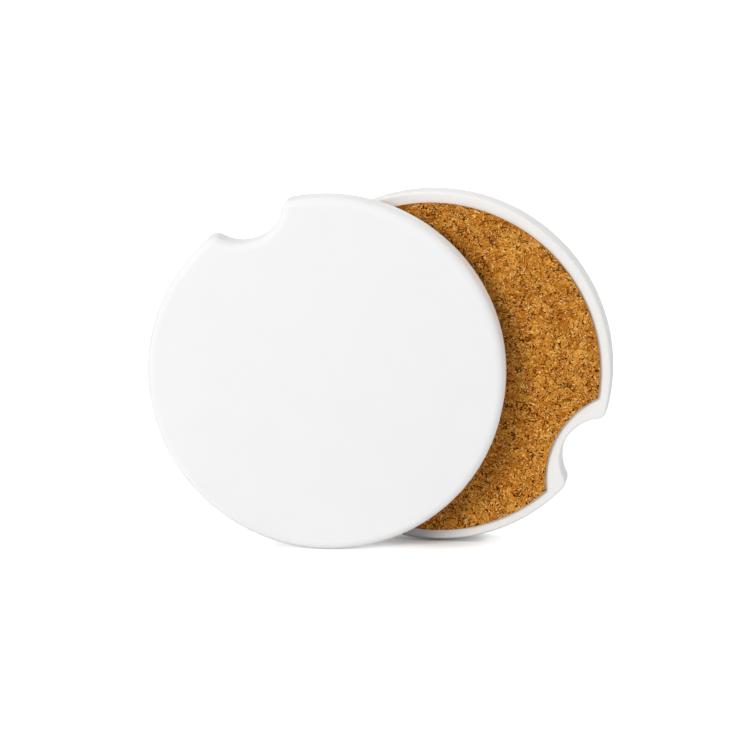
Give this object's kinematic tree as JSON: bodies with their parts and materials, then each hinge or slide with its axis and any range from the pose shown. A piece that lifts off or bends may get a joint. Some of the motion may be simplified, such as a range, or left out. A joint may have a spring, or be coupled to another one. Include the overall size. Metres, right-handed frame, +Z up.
{
  "type": "car coaster set",
  "caption": "Round ceramic car cup-holder coasters with a rounded face edge, a finger notch in the rim and a cork pad glued to the back, standing on edge as a loose set.",
  "frame": {"origin": "on the ground, at the middle of the standing pair's box", "axes": "+X to the right along the pair, +Y away from the viewer from front coaster to rear, +Z up"},
  "size_m": [0.0864, 0.0228, 0.066],
  "materials": {
    "ceramic": "matte white, unglazed and absorbent",
    "cork": "agglomerated cork of fine granules, raw",
    "adhesive": "clear pressure-sensitive film"
  },
  "bodies": {
    "front_coaster": {"front_ceramic_disc": "ceramic", "front_adhesive_film": "adhesive", "front_cork_pad": "cork"},
    "rear_coaster": {"rear_ceramic_disc": "ceramic", "rear_adhesive_film": "adhesive", "rear_cork_pad": "cork"}
  },
  "joints": [
    {"name": "rear_coaster_lift", "type": "slide", "parent": "front_coaster", "child": "rear_coaster", "axis": [0, 0, 1], "range_m": [0, 0.07]}
  ]
}
